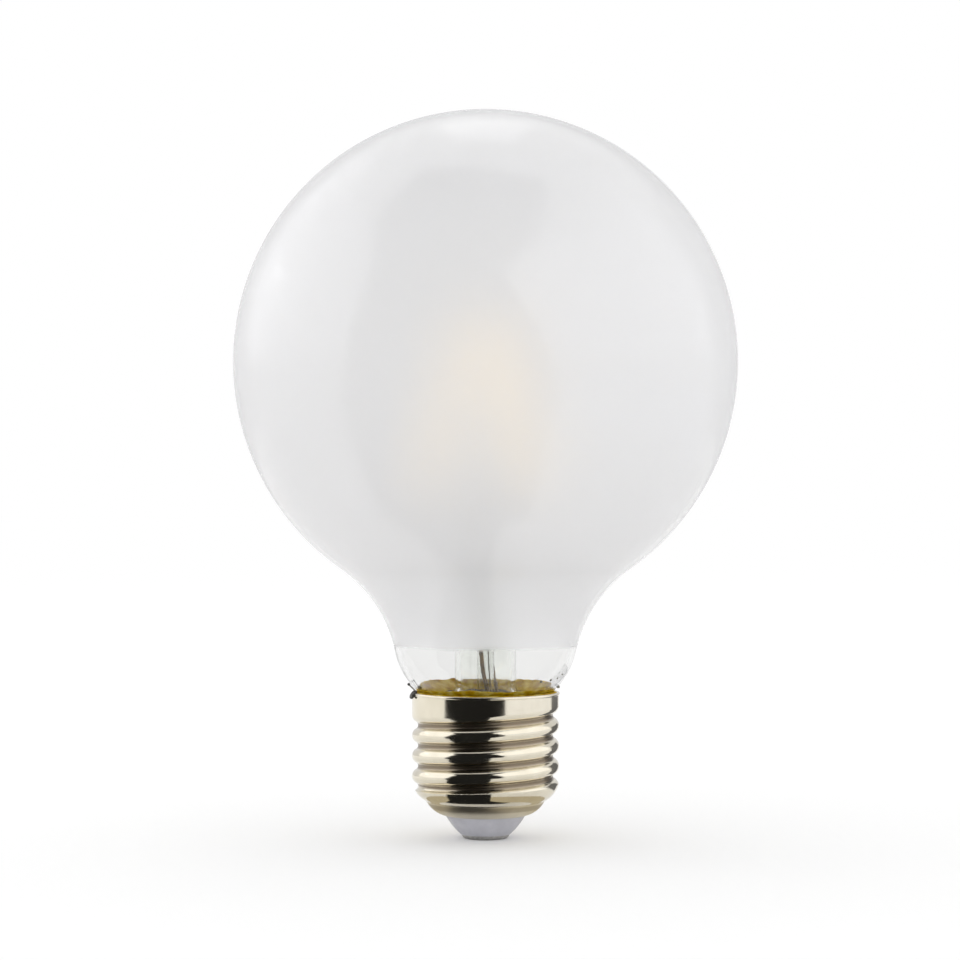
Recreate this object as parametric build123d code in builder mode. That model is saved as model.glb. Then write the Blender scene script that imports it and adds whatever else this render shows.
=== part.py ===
from build123d import *
import math
import os

os.makedirs("parts", exist_ok=True)

# Sizes are in millimetres and angles in degrees. The lamp stands on its centre contact, globe up.

# Globe
globe_diameter = 90.0
overall_length = 130.0
glass_wall = 0.9
neck_blend_radius = 24.0
seal_shoulder_radius = 13.0
seal_shoulder_rise = 9.85
seal_angle = 62.0

# Screw shell
thread_diameter = 26.3
thread_pitch = 3.629
thread_depth = 1.1
crest_radius = 1.35
crest_land = 0.3
shell_wall = 0.3
rim_height = 26.1
collar_height = 4.1
groove_turns = 5
groove_tail_turns = 0.14
groove_runout = 6.0
toe_height = 10.1
toe_radius = 4.5
waist_step = 2.5
waist_height = 6.75
waist_radius = 0.8
foot_radius = 4.8
lip_radius = 7.5
lip_height = 4.2

# Insulator and centre contact
insulator_floor_height = 3.6
insulator_floor_radius = 5.2
insulator_cup_gap = 0.35
insulator_cup_wall = 1.1
insulator_cup_depth = 1.2
insulator_dome_radius = 14.0
insulator_dome_foot = 4.5
insulator_step = 0.3
contact_head_radius = 4.2
contact_head_height = 0.75
contact_edge_radius = 0.6
contact_shank_radius = 1.2
contact_clinch_radius = 1.9
contact_clinch_height = 0.5
centre_wire_radius = 0.3

# Stem: flare, press, exhaust tube and post
flare_tube_radius = 5.45
flare_rise = 13.9
press_taper = 6.0
press_height = 5.0
press_width = 10.6
press_thickness = 4.2
press_corner_radius = 1.3
exhaust_radius = 1.5
exhaust_bore = 1.0
exhaust_length = 28.1
exhaust_setback = 1.4
blow_hole_radius = 0.6
post_radius = 1.6
post_length = 44.0
button_radius = 2.5
mount_azimuth = 254.0

# Leads
lead_radius = 0.35
lead_spacing = 5.8
lead_pad_radius = 4.8
lead_pad_azimuths = (-34.0, 38.0)
lead_pad_rise = 4.4
lead_neck_radius = 3.1
lead_neck_azimuths = (278.0, 50.0)
lead_neck_rise = 0.4
lead_straight_drop = 4.0
lead_rise = 1.5
lead_elbow = 9.5
lead_bend_radius = 1.5

# Filaments and the wires that carry them
foot_ring_radius = 15.0
foot_ring_rise = 7.5
foot_spread = 45.0
foot_overhang = 3.0
foot_wire_radius = 0.4
spider_reach = 3.0
spider_wire_radius = 0.3
filament_width = 1.9
filament_thickness = 1.5
filament_edge_radius = 0.6
tab_length = 3.2
tab_width = 1.0
tab_thickness = 0.3

# Driver in the cap
board_height = 8.6
board_setback = 0.2
board_thickness = 1.0
capacitor_place = (-4.6, 3.6)
capacitor_radius = 3.15
capacitor_length = 10.5
capacitor_groove = 0.35
inductor_place = (-4.2, -4.3)
inductor_radius = 3.0
inductor_length = 6.5
inductor_flange = 1.1
inductor_core_radius = 1.4
winding_radius = 2.5
rectifier_place = (1.6, 6.2)
rectifier_length = 4.8
rectifier_width = 3.9
rectifier_thickness = 2.4
rectifier_pin_pitch = 2.5
chip_place = (1.6, -6.0)
chip_length = 4.9
chip_width = 3.9
chip_thickness = 1.45
chip_pin_pitch = 1.27
pin_width = 0.5
pin_reach = 0.9
pin_thickness = 0.25
case_chamfer = 0.2
fuse_place = 6.9
fuse_radius = 1.15
fuse_length = 6.3
fuse_lead_radius = 0.3
fuse_lead_reach = 1.3

# Cement, side wire and solder
cement_gap = 0.92
cement_depth = 1.7
cement_seal_depth = 0.8
cement_rise = 1.4
side_azimuth = 195.0
side_wire_radius = 0.15
side_wire_inset = 1.0
side_wire_rise = 3.0
side_wire_bend_radius = 0.4
side_wire_overhang = 0.95
solder_radius = 1.1
solder_rise = 0.5
solder_drop = 1.2

# Clearances
seat_gap = 0.02
wire_gap = 0.1


def turned(length, azimuth, height):
    angle = math.radians(azimuth)
    return Vector(length * math.cos(angle), length * math.sin(angle), height)


def polar_point(centre, radius, angle):
    return centre + turned(radius, angle, 0)


def bearing(start, end):
    return math.degrees(math.atan2(end.Y - start.Y, end.X - start.X))


def arc_centre(start, end, radius):
    chord = end - start
    side = Vector(chord.Y, -chord.X).normalized()
    return (start + end) / 2 + side * math.sqrt(radius**2 - chord.length**2 / 4)


def blend_centre(first, first_reach, second, second_reach):
    span = second - first
    share = (span.length**2 + first_reach**2 - second_reach**2) / (2 * span.length)
    step = span.normalized()
    return first + step * share + Vector(step.Y, -step.X) * math.sqrt(first_reach**2 - share**2)


def upright_plane(azimuth):
    return Plane(origin=(0, 0, 0), x_dir=turned(1, azimuth, 0), z_dir=turned(1, azimuth - 90, 0))


def sweep_wire(path, radius):
    with BuildSketch(Plane(origin=path @ 0, z_dir=path % 0)) as section:
        Circle(radius)
    sweep(section.sketch, path=path)


def write(piece, label):
    piece.part.label = label
    export_step(piece.part, f"parts/{label}.step")


# Thread form: a round crest and a round root that touch, with a narrow land on the crest
thread_radius = thread_diameter / 2
root_floor = thread_radius - thread_depth
crest_centre = thread_radius - math.sqrt(crest_radius**2 - (crest_land / 2) ** 2)
crest_rise = crest_centre - root_floor
half_pitch = thread_pitch / 2
root_radius = (half_pitch**2 + crest_rise**2 - crest_radius**2) / (2 * (crest_radius + crest_rise))
root_centre = root_floor + root_radius
flank_angle = math.degrees(math.atan2(half_pitch, crest_rise - root_radius))
groove_start = rim_height - collar_height - groove_turns * thread_pitch
groove_height = thread_pitch * (groove_turns + groove_tail_turns)
cutter_reach = thread_radius + thread_depth

# Toe: the last crest rounds in to a waist, and a round foot leads from there to the bottom lip
waist = Vector(thread_radius - waist_step, waist_height)
lip = Vector(lip_radius, lip_height)
toe_centre = arc_centre(Vector(thread_radius, toe_height), waist, toe_radius)
foot_centre = arc_centre(waist, lip, foot_radius)
waist_centre = blend_centre(foot_centre, foot_radius + waist_radius, toe_centre, toe_radius + waist_radius)
toe_end_angle = bearing(toe_centre, waist_centre)
foot_start_angle = bearing(foot_centre, waist_centre)
waist_sweep = foot_start_angle - toe_end_angle
lip_angle = bearing(foot_centre, lip)


def wall_radius(inset):
    return crest_centre + math.sqrt((crest_radius - inset) ** 2 - (crest_land / 2) ** 2)


# The cutter's flanks run on past the edge of the land, so that the groove breaks through it cleanly
groove_point = Vector(root_centre, groove_start)
upper_crest = Vector(crest_centre, groove_start + half_pitch)
lower_crest = Vector(crest_centre, groove_start - half_pitch)
flank_overrun = crest_land / 4


def threaded_plug(inset, foot, top):
    crest = crest_radius - inset
    land_angle = math.degrees(math.asin(flank_overrun / crest))
    flank_sweep = 180 - flank_angle - land_angle
    with BuildPart() as plug:
        with BuildSketch(Plane.XY.offset(foot)):
            Circle(wall_radius(inset))
        extrude(amount=top - foot)
        with BuildLine() as path:
            Helix(thread_pitch, groove_height, thread_radius, (0, 0, groove_start))
            Line(path.line @ 1, path.line @ 1 + (path.line % 1) * groove_runout)
        with BuildSketch(Plane.XZ):
            with BuildLine():
                CenterArc(groove_point, root_radius + inset, flank_angle, 360 - 2 * flank_angle)
                upper = CenterArc(upper_crest, crest, 180 + flank_angle, flank_sweep)
                lower = CenterArc(lower_crest, crest, land_angle, flank_sweep)
                Polyline(upper @ 1, (cutter_reach, (upper @ 1).Y), (cutter_reach, (lower @ 0).Y), lower @ 0)
            make_face()
        sweep(path=path.line, is_frenet=True, mode=Mode.SUBTRACT)
        with BuildSketch(Plane.XZ):
            with BuildLine():
                toe = CenterArc(toe_centre, toe_radius - inset, toe_end_angle, -toe_end_angle)
                CenterArc(waist_centre, waist_radius + inset, 180 + toe_end_angle, waist_sweep)
                heel = CenterArc(foot_centre, foot_radius - inset, lip_angle, foot_start_angle - lip_angle)
                Polyline(toe @ 1, (cutter_reach, (toe @ 1).Y), (cutter_reach, 0), ((heel @ 0).X, 0), heel @ 0)
            make_face()
        revolve(axis=Axis.Z, mode=Mode.SUBTRACT)
    return plug.part


shell_body = threaded_plug(0, lip_height, rim_height)
shell_bore = threaded_plug(shell_wall, lip_height - shell_wall, rim_height + shell_wall)
with BuildPart() as screw_shell:
    add(shell_body)
    add(shell_bore, mode=Mode.SUBTRACT)
write(screw_shell, "screw_shell")

# Insulator: a white dome under the lip, a seat that follows the foot inside, a cup for the board
insulator_cup_radius = waist.X - shell_wall - insulator_cup_gap
seat_reach = foot_radius - shell_wall - wire_gap
dome_top = lip_height - seat_gap
seat_head_angle = -math.degrees(math.acos((insulator_cup_radius - foot_centre.X) / seat_reach))
cup_bore = insulator_cup_radius - insulator_cup_wall
contact_hole = contact_shank_radius + seat_gap

with BuildPart() as insulator:
    with BuildSketch(Plane.XZ):
        with BuildLine():
            seat = CenterArc(foot_centre, seat_reach, lip_angle, seat_head_angle - lip_angle)
            dome = RadiusArc(
                (lip_radius - insulator_step, dome_top),
                (insulator_dome_foot, contact_head_height),
                insulator_dome_radius,
            )
            Line(seat @ 0, dome @ 0)
            Polyline(
                dome @ 1,
                (contact_hole, contact_head_height),
                (contact_hole, insulator_floor_height),
                (insulator_floor_radius, insulator_floor_height),
                (cup_bore, board_height - insulator_cup_depth),
                (cup_bore, board_height),
                (insulator_cup_radius, board_height),
                seat @ 1,
            )
        make_face()
    revolve(axis=Axis.Z)
write(insulator, "insulator")

# Centre contact: a rivet with a flat, round-edged head
clinch_foot = insulator_floor_height + seat_gap
clinch_top = clinch_foot + contact_clinch_height

with BuildPart() as centre_contact:
    with BuildSketch(Plane.XZ):
        with BuildLine():
            edge = CenterArc(
                (contact_head_radius - contact_edge_radius, contact_edge_radius), contact_edge_radius, -90, 90
            )
            Polyline(
                edge @ 1,
                (contact_head_radius, contact_head_height),
                (contact_shank_radius, contact_head_height),
                (contact_shank_radius, clinch_foot),
                (contact_clinch_radius, clinch_foot),
                (contact_clinch_radius, clinch_top),
                (0, clinch_top),
                (0, 0),
                edge @ 0,
            )
        make_face()
    revolve(axis=Axis.Z)
write(centre_contact, "centre_contact")

with BuildPart() as centre_wire:
    with BuildSketch(Plane.XY.offset(clinch_top)):
        Circle(centre_wire_radius)
    extrude(amount=board_height - clinch_top)
write(centre_wire, "centre_wire")

# Driver: a round board on the cup's rim with its parts on top
board_radius = insulator_cup_radius - board_setback
board_top = board_height + board_thickness

with BuildPart() as driver_board:
    with BuildSketch(Plane.XY.offset(board_height)):
        Circle(board_radius)
    extrude(amount=board_thickness)
write(driver_board, "driver_board")


def standing_plane(place):
    return Plane(origin=(*place, board_top), x_dir=(1, 0, 0), z_dir=(0, -1, 0))


with BuildPart() as capacitor:
    with BuildSketch(standing_plane(capacitor_place)):
        with BuildLine():
            Polyline(
                (0, 0),
                (capacitor_radius, 0),
                (capacitor_radius, 3 * capacitor_groove),
                (capacitor_radius - capacitor_groove, 4 * capacitor_groove),
                (capacitor_radius, 5 * capacitor_groove),
                (capacitor_radius, capacitor_length - capacitor_groove),
                (capacitor_radius - capacitor_groove, capacitor_length),
                (0, capacitor_length),
                close=True,
            )
        make_face()
    revolve(axis=Axis((*capacitor_place, 0), (0, 0, 1)))
write(capacitor, "capacitor")

with BuildPart() as inductor_core:
    with BuildSketch(standing_plane(inductor_place)):
        with Locations((0, 0)):
            Rectangle(inductor_radius, inductor_length, align=(Align.MIN, Align.MIN))
        with Locations((inductor_core_radius, inductor_flange)):
            Rectangle(
                inductor_radius,
                inductor_length - 2 * inductor_flange,
                align=(Align.MIN, Align.MIN),
                mode=Mode.SUBTRACT,
            )
    revolve(axis=Axis((*inductor_place, 0), (0, 0, 1)))
write(inductor_core, "inductor_core")

with BuildPart() as inductor_winding:
    with BuildSketch(standing_plane(inductor_place)):
        with Locations((inductor_core_radius + seat_gap, inductor_flange + seat_gap)):
            Rectangle(
                winding_radius - inductor_core_radius,
                inductor_length - 2 * inductor_flange - 2 * seat_gap,
                align=(Align.MIN, Align.MIN),
            )
    revolve(axis=Axis((*inductor_place, 0), (0, 0, 1)))
write(inductor_winding, "inductor_winding")

on_board = (Align.CENTER, Align.CENTER, Align.MIN)

with BuildPart(Plane(origin=(*rectifier_place, board_top))) as rectifier:
    Box(rectifier_length, rectifier_width, rectifier_thickness, align=on_board)
    chamfer(rectifier.faces().sort_by(Axis.Z)[-1].edges(), case_chamfer)
    with GridLocations(rectifier_pin_pitch, 0, 2, 1):
        Box(pin_width, rectifier_width + 2 * pin_reach, pin_thickness, align=on_board)
write(rectifier, "rectifier")

with BuildPart(Plane(origin=(*chip_place, board_top))) as driver_chip:
    Box(chip_length, chip_width, chip_thickness, align=on_board)
    chamfer(driver_chip.faces().sort_by(Axis.Z)[-1].edges(), case_chamfer)
    with GridLocations(chip_pin_pitch, 0, 4, 1):
        Box(pin_width, chip_width + 2 * pin_reach, pin_thickness, align=on_board)
write(driver_chip, "driver_chip")

fuse_height = board_top + fuse_radius + wire_gap
fuse_lead_end = fuse_length / 2 + fuse_lead_reach

with BuildPart() as fuse_resistor:
    with BuildSketch(Plane(origin=(fuse_place, -fuse_length / 2, fuse_height), z_dir=(0, 1, 0))):
        Circle(fuse_radius)
    extrude(amount=fuse_length)
    chamfer(fuse_resistor.edges().filter_by(GeomType.CIRCLE), case_chamfer)
    with BuildLine() as path:
        FilletPolyline(
            (fuse_place, -fuse_lead_end, board_top),
            (fuse_place, -fuse_lead_end, fuse_height),
            (fuse_place, fuse_lead_end, fuse_height),
            (fuse_place, fuse_lead_end, board_top),
            radius=2 * fuse_lead_radius,
        )
    sweep_wire(path.line, fuse_lead_radius)
write(fuse_resistor, "fuse_resistor")

# Globe: ball, hollow neck and round shoulder are three arcs that run into each other
collar_bore = wall_radius(shell_wall)
globe_radius = globe_diameter / 2
globe_centre = Vector(0, overall_length - globe_radius)
shoulder_inset = math.sqrt(seal_shoulder_radius**2 - seal_shoulder_rise**2)
shoulder_centre = Vector(collar_bore - cement_gap - shoulder_inset, rim_height + seal_shoulder_rise)
neck_centre = blend_centre(
    shoulder_centre, seal_shoulder_radius + neck_blend_radius, globe_centre, globe_radius + neck_blend_radius
)
globe_end_angle = bearing(globe_centre, neck_centre)
neck_top_angle = 180 + globe_end_angle
shoulder_end_angle = bearing(shoulder_centre, neck_centre)
neck_foot_angle = 180 + shoulder_end_angle


def draw_glass_face(inset):
    CenterArc(globe_centre, globe_radius - inset, globe_end_angle, 90 - globe_end_angle)
    CenterArc(neck_centre, neck_blend_radius + inset, neck_top_angle, neck_foot_angle - neck_top_angle)
    CenterArc(shoulder_centre, seal_shoulder_radius - inset, -seal_angle, seal_angle + shoulder_end_angle)


with BuildPart() as globe_glass:
    with BuildSketch(Plane.XZ):
        with BuildLine():
            draw_glass_face(0)
            draw_glass_face(glass_wall)
            Line((0, overall_length), (0, overall_length - glass_wall))
            Line(
                polar_point(shoulder_centre, seal_shoulder_radius, -seal_angle),
                polar_point(shoulder_centre, seal_shoulder_radius - glass_wall, -seal_angle),
            )
        make_face()
    revolve(axis=Axis.Z)
write(globe_glass, "globe_glass")

# Flare: one fold leads from the seal into the upright tube, which is pressed flat at its top
flare_mid_radius = flare_tube_radius - glass_wall / 2
flare_bore = flare_tube_radius - glass_wall
seal_point = polar_point(shoulder_centre, seal_shoulder_radius - glass_wall / 2, -seal_angle)
fold_radius = (seal_point.X - flare_mid_radius) / (1 + math.cos(math.radians(seal_angle)))
fold_centre = polar_point(seal_point, fold_radius, 180 - seal_angle)
fold_sweep = 180 - seal_angle
flare_top = rim_height + flare_rise
press_base = flare_top + press_taper
press_top = press_base + press_height
exhaust_top = press_base - exhaust_setback
exhaust_tip = exhaust_top - exhaust_length
mount_plane = Plane.XY.rotated((0, 0, mount_azimuth))
cavity_top = exhaust_top - exhaust_bore / 2
cavity_width = lead_spacing + 4 * lead_radius
cavity_thickness = press_thickness - 2 * glass_wall
hole_height = exhaust_top + blow_hole_radius

with BuildPart() as stem_flare:
    with BuildSketch(Plane.XZ):
        with BuildLine():
            outside = CenterArc(fold_centre, fold_radius + glass_wall / 2, 180, fold_sweep)
            inside = CenterArc(fold_centre, fold_radius - glass_wall / 2, 180, fold_sweep)
            Line(outside @ 1, inside @ 1)
            Polyline(outside @ 0, (flare_bore, flare_top), (flare_tube_radius, flare_top), inside @ 0)
        make_face()
    revolve(axis=Axis.Z)
    with BuildSketch(mount_plane.offset(flare_top)):
        Circle(flare_tube_radius)
    with BuildSketch(mount_plane.offset(press_base)):
        Ellipse(press_width / 2, press_thickness / 2)
    loft()
    with BuildSketch(mount_plane.offset(press_base)):
        RectangleRounded(press_width, press_thickness, press_corner_radius)
    extrude(amount=press_top - press_base)
    with BuildSketch(mount_plane.offset(flare_top)):
        Circle(flare_bore)
    with BuildSketch(mount_plane.offset(cavity_top)):
        Ellipse(cavity_width / 2, cavity_thickness / 2)
    loft(mode=Mode.SUBTRACT)
    with BuildSketch(mount_plane.offset(flare_top)):
        Circle(exhaust_radius + seat_gap)
    extrude(amount=hole_height + blow_hole_radius - flare_top, mode=Mode.SUBTRACT)
    with BuildSketch(mount_plane.offset(flare_top)):
        with GridLocations(lead_spacing, 0, 2, 1):
            Circle(lead_radius + seat_gap)
    extrude(amount=press_top - flare_top, mode=Mode.SUBTRACT)
    with BuildSketch(upright_plane(mount_azimuth)):
        with Locations((0, hole_height)):
            Circle(blow_hole_radius)
    extrude(amount=press_thickness, mode=Mode.SUBTRACT)
write(stem_flare, "stem_flare")

with BuildPart() as exhaust_tube:
    with BuildSketch(Plane.XZ):
        with BuildLine():
            tip_centre = Vector(0, exhaust_tip + exhaust_radius)
            outer_tip = CenterArc(tip_centre, exhaust_radius, -90, 90)
            inner_tip = CenterArc(tip_centre, exhaust_bore, -90, 90)
            Line(outer_tip @ 0, inner_tip @ 0)
            Polyline(outer_tip @ 1, (exhaust_radius, exhaust_top), (exhaust_bore, exhaust_top), inner_tip @ 1)
        make_face()
    revolve(axis=Axis.Z)
write(exhaust_tube, "exhaust_tube")

# Post: a glass rod on the press, with a melted button that holds the wire cross
spider_height = press_top + post_length
rear_azimuth = mount_azimuth + 180
filament_azimuths = (
    mount_azimuth - foot_spread,
    mount_azimuth + foot_spread,
    rear_azimuth - foot_spread,
    rear_azimuth + foot_spread,
)

with BuildPart() as support_post:
    with BuildSketch(Plane.XY.offset(press_top)):
        Circle(post_radius)
    extrude(amount=spider_height - press_top)
    with Locations((0, 0, spider_height)):
        Sphere(button_radius)
    for azimuth in filament_azimuths:
        with BuildSketch(Plane(origin=(0, 0, spider_height), z_dir=turned(1, azimuth, 0))):
            Circle(spider_wire_radius + seat_gap)
        extrude(amount=button_radius, mode=Mode.SUBTRACT)
write(support_post, "support_post")

with BuildPart() as top_spider:
    for azimuth in filament_azimuths:
        with BuildSketch(Plane(origin=(0, 0, spider_height), z_dir=turned(1, azimuth, 0))):
            Circle(spider_wire_radius)
        extrude(amount=spider_reach + spider_wire_radius)
write(top_spider, "top_spider")

# Leads: from the board up through the press and out to the foot wires
lead_bend_height = board_top + lead_pad_rise
lead_neck_height = rim_height + lead_neck_rise
lead_straight_height = flare_top - lead_straight_drop
foot_ring_height = press_top + foot_ring_rise
lead_reach = foot_ring_radius - foot_wire_radius - seat_gap
lead_side = lead_spacing / 2

for index, name in enumerate(("front", "rear")):
    azimuth = (mount_azimuth, rear_azimuth)[index]
    pad = turned(lead_pad_radius, lead_pad_azimuths[index], board_top + seat_gap)
    with BuildPart() as lead:
        with BuildLine() as path:
            Line(pad, (pad.X, pad.Y, lead_bend_height))
            Spline(
                (pad.X, pad.Y, lead_bend_height),
                turned(lead_neck_radius, lead_neck_azimuths[index], lead_neck_height),
                turned(lead_side, azimuth, lead_straight_height),
                tangents=((0, 0, 1), (0, 0, 1)),
            )
            FilletPolyline(
                turned(lead_side, azimuth, lead_straight_height),
                turned(lead_side, azimuth, press_top + lead_rise),
                turned(lead_elbow, azimuth, foot_ring_height),
                turned(lead_reach, azimuth, foot_ring_height),
                radius=lead_bend_radius,
            )
        sweep_wire(path.line, lead_radius)
    write(lead, f"{name}_lead")
    with BuildPart() as foot_wire:
        with BuildLine(Plane.XY.offset(foot_ring_height)) as path:
            CenterArc(
                (0, 0),
                foot_ring_radius,
                azimuth - foot_spread - foot_overhang,
                2 * (foot_spread + foot_overhang),
            )
        sweep_wire(path.line, foot_wire_radius)
    write(foot_wire, f"{name}_foot_wire")

# Filaments: a coated bar with a metal strip at each end, leaning in to the wire cross
for number, azimuth in enumerate(filament_azimuths, 1):
    foot = turned(foot_ring_radius, azimuth, foot_ring_height)
    crown = turned(spider_reach, azimuth, spider_height)
    lean = (crown - foot).normalized()
    foot_end = foot + lean * (foot_wire_radius + seat_gap)
    bar_start = foot_end + lean * tab_length
    bar_length = (crown - bar_start).length - spider_wire_radius - seat_gap - tab_length
    bar_end = bar_start + lean * bar_length
    across = turned(1, azimuth + 90, 0)
    with BuildPart() as foot_tab:
        with BuildSketch(Plane(origin=foot_end, x_dir=across, z_dir=lean)):
            Rectangle(tab_width, tab_thickness)
        extrude(amount=tab_length)
    write(foot_tab, f"filament_{number}_foot_tab")
    with BuildPart() as filament:
        with BuildSketch(Plane(origin=bar_start, x_dir=across, z_dir=lean)):
            RectangleRounded(filament_width, filament_thickness, filament_edge_radius)
        extrude(amount=bar_length)
    write(filament, f"filament_{number}")
    with BuildPart() as top_tab:
        with BuildSketch(Plane(origin=bar_end, x_dir=across, z_dir=lean)):
            Rectangle(tab_width, tab_thickness)
        extrude(amount=tab_length)
    write(top_tab, f"filament_{number}_top_tab")

# Side wire: up inside the thread, out between rim and glass
cement_floor = rim_height - cement_depth
side_wire_start = board_radius - side_wire_inset
side_wire_tip_radius = thread_radius + side_wire_overhang
side_run_radius = root_floor - shell_wall - 2 * wire_gap - side_wire_radius
side_collar_radius = collar_bore - wire_gap - side_wire_radius
side_exit_height = rim_height + wire_gap


def draw_side_path():
    FilletPolyline(
        (side_wire_start, board_top + seat_gap),
        (side_wire_start, board_top + side_wire_rise),
        (side_run_radius, board_top + 2 * side_wire_rise),
        (side_run_radius, cement_floor - side_collar_radius + side_run_radius),
        (side_collar_radius, cement_floor),
        (side_collar_radius, side_exit_height),
        (side_wire_tip_radius, side_exit_height + side_wire_tip_radius - side_collar_radius),
        radius=side_wire_bend_radius,
    )


with BuildPart() as side_wire:
    with BuildLine(upright_plane(side_azimuth)) as path:
        draw_side_path()
    sweep_wire(path.line, side_wire_radius)
write(side_wire, "side_wire")

with BuildPart() as side_channel:
    with BuildLine(upright_plane(side_azimuth)) as path:
        draw_side_path()
    sweep_wire(path.line, side_wire_radius + seat_gap)

# Cement: fills the collar around the neck and stands a little above the rim
cement_radius = collar_bore - seat_gap
cement_reach = seal_shoulder_radius + seat_gap
cement_seal_angle = math.degrees(math.asin((seal_shoulder_rise + cement_seal_depth) / cement_reach))
cement_crown_angle = math.degrees(math.asin((seal_shoulder_rise - cement_rise) / cement_reach))

with BuildPart() as cement_ring:
    with BuildSketch(Plane.XZ):
        with BuildLine():
            glass_side = CenterArc(
                shoulder_centre,
                cement_reach,
                -cement_seal_angle,
                cement_seal_angle - cement_crown_angle,
            )
            Polyline(
                glass_side @ 0,
                (cement_radius, cement_floor),
                (cement_radius, rim_height),
                glass_side @ 1,
            )
        make_face()
    revolve(axis=Axis.Z)
    add(side_channel.part, mode=Mode.SUBTRACT)
write(cement_ring, "cement_ring")

# Solder: a flat drop on the outside of the collar under the side wire
solder_back = thread_radius + seat_gap
solder_height = rim_height - solder_drop

with BuildPart() as side_solder:
    with BuildSketch(upright_plane(side_azimuth)):
        with BuildLine():
            drop = EllipticalCenterArc(
                (solder_back, solder_height), solder_rise, solder_radius, arc_size=90
            )
            Polyline(drop @ 0, (solder_back, solder_height), drop @ 1)
        make_face()
    revolve(axis=Axis((0, 0, solder_height), turned(1, side_azimuth, 0)))
write(side_solder, "side_solder")
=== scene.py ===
# %% [markdown]
# # A frosted globe lamp with LED filaments
# The lamp is a blown glass globe on a nickel screw cap. The glass is frosted down to the neck, so the
# yellow filaments only show as a warm patch, and a clear band below the frost shows the stem, the two
# leads and the cement. The solids come in as a fixed frame, and everything here is set around them. They
# could be modelled again, but then the looks and the solids could drift apart.

# %% Load the frame
import math

import bmesh
import bpy
from mathutils import Matrix, Vector, noise


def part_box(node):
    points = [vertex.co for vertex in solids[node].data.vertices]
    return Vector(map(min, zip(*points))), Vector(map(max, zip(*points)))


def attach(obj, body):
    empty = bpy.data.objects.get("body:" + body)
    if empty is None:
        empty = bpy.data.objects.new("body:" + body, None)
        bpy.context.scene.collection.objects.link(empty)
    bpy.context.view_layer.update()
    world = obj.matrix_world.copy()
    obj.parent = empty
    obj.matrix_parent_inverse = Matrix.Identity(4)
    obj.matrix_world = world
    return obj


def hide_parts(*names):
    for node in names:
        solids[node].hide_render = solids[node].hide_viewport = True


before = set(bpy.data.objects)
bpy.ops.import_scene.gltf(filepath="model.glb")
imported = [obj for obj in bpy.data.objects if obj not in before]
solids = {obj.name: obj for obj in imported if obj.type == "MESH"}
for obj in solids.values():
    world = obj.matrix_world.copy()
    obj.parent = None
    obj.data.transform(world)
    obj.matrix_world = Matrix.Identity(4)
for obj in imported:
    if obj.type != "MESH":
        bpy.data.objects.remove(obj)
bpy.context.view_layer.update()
scene = bpy.context.scene
scene.view_settings.view_transform = "Standard"
MM = 0.001

# %% [markdown]
# ## Camera
# The picture was taken with a long lens, so the lamp's upright lines stay nearly parallel. The camera could
# be tilted to frame the lamp, but a level one keeps those lines upright. It stands half a metre off, level
# with the middle of the lamp, and a lens of about 105 mm shows 172 mm of height there. The lamp's axis is
# a little to the right of the picture's middle.

# %% Camera
PICTURE_SIDE = 960
AXIS_COLUMN = 485.5
eye_distance = 500 * MM
eye_height = 64 * MM
sensor_width = 36.0
lens_length = 104.8

camera = bpy.data.cameras.new("camera")
camera.sensor_width = sensor_width
camera.lens = lens_length
pixel = eye_distance * sensor_width / lens_length / PICTURE_SIDE
camera_object = bpy.data.objects.new("camera", camera)
camera_object.location = ((PICTURE_SIDE / 2 - AXIS_COLUMN) * pixel, -eye_distance, eye_height)
camera_object.rotation_euler = (math.radians(90), 0, 0)
scene.collection.objects.link(camera_object)
scene.camera = camera_object
print("camera: one pixel is", round(pixel / MM, 4), "mm at the lamp's axis")

# %% [markdown]
# ## Room light
# The lamp stands in a white studio. A picture of a studio could be wrapped around it, but its colours would
# tint the lamp. A plain white world lights it evenly from all sides, so that each colour comes out about
# as it is written.

# %% Room light
room_strength = 1.0

room = bpy.data.worlds.new("white_room")
room.use_nodes = True
scene.world = room
background = room.node_tree.nodes["Background"]
background.inputs["Color"].default_value = (1, 1, 1, 1)
background.inputs["Strength"].default_value = room_strength
print("room: white, strength", room_strength)

# %% [markdown]
# ## Node helpers
# A finish in Blender is a tree of linked nodes. Each node could be added and linked line by line, but that
# would hide what the tree does. Three helpers keep it readable: one adds a node, one maps a value from one
# range to another, and one joins two values, such as by a sum, a product or the larger of the two.


# %% Node helpers
def node(tree, kind, **values):
    made = tree.nodes.new(kind)
    for name, value in values.items():
        setattr(made, name, value)
    return made


def spread(tree, factor, low, high, start=0.0, end=1.0):
    ranged = node(tree, "ShaderNodeMapRange")
    ranged.inputs["From Min"].default_value = start
    ranged.inputs["From Max"].default_value = end
    ranged.inputs["To Min"].default_value = low
    ranged.inputs["To Max"].default_value = high
    tree.links.new(factor, ranged.inputs["Value"])
    return ranged.outputs["Result"]


def joined(tree, operation, first, second):
    made = node(tree, "ShaderNodeMath", operation=operation)
    tree.links.new(first, made.inputs[0])
    tree.links.new(second, made.inputs[1])
    return made.outputs[0]


print("helpers: node, spread and joined are ready")

# %% [markdown]
# ## Floor paint
# The floor is matt white paper. It is painted a little darker than the room and glows weakly for rays that
# look at it, so that it meets the room without an edge, keeps the lamp's soft shadow and still leaves the
# underside of the cap in the shade. More light could whiten it too, but would bleach the lamp as well. In
# the polished metal the paper hardly glows, which keeps the shadow below the cap visible there.


# %% Floor paint
def finish(name):
    material = bpy.data.materials.new(name)
    material.use_nodes = True
    return material, material.node_tree, material.node_tree.nodes["Principled BSDF"]


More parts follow.
